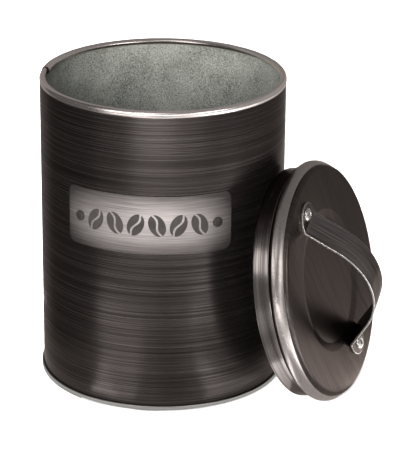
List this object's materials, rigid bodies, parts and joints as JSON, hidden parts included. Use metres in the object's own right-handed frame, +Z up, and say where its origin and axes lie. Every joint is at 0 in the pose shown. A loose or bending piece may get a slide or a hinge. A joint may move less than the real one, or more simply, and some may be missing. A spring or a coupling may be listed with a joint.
{
  "type": "coffee tin",
  "caption": "Round brushed dark tin with a riveted nameplate, open at the top; its plug lid with a strap handle stands on edge and leans on the wall.",
  "frame": {"origin": "centre of the tin's foot, in the plane of the rim that it stands on", "axes": "+Z up along the tin's axis, -Y out through the middle of the nameplate, +X towards the side where the lid leans"},
  "size_m": [0.1569, 0.1275, 0.14],
  "materials": {
    "dark_tin": "dark bronze lacquer over brushed tinplate, satin",
    "bare_tinplate": "bare tinplate, satin",
    "compound": "cured sealing compound",
    "plate_steel": "brushed along its length",
    "dark_rivet": "dark plated, satin",
    "dark_strap": "dark lacquer, bright worn edges",
    "bright_rivet": "semi-bright",
    "mandrel_steel": "dull, broken face"
  },
  "bodies": {
    "tin": {"can_body": "dark_tin", "can_base": "bare_tinplate", "seam_compound": "compound", "nameplate": "plate_steel", "nameplate_rivet_left": "dark_rivet", "nameplate_rivet_right": "dark_rivet"},
    "lid": {"lid_pan": "dark_tin", "lid_collar": "dark_tin", "lid_handle": "dark_strap", "handle_rivet_upper": "bright_rivet", "handle_rivet_lower": "bright_rivet", "rivet_mandrel_upper": "mandrel_steel", "rivet_mandrel_lower": "mandrel_steel"}
  },
  "joints": [
    {"name": "lid_lift", "type": "slide", "parent": "tin", "child": "lid", "axis": [0, 0, 1], "range_m": [0, 0.15]}
  ]
}
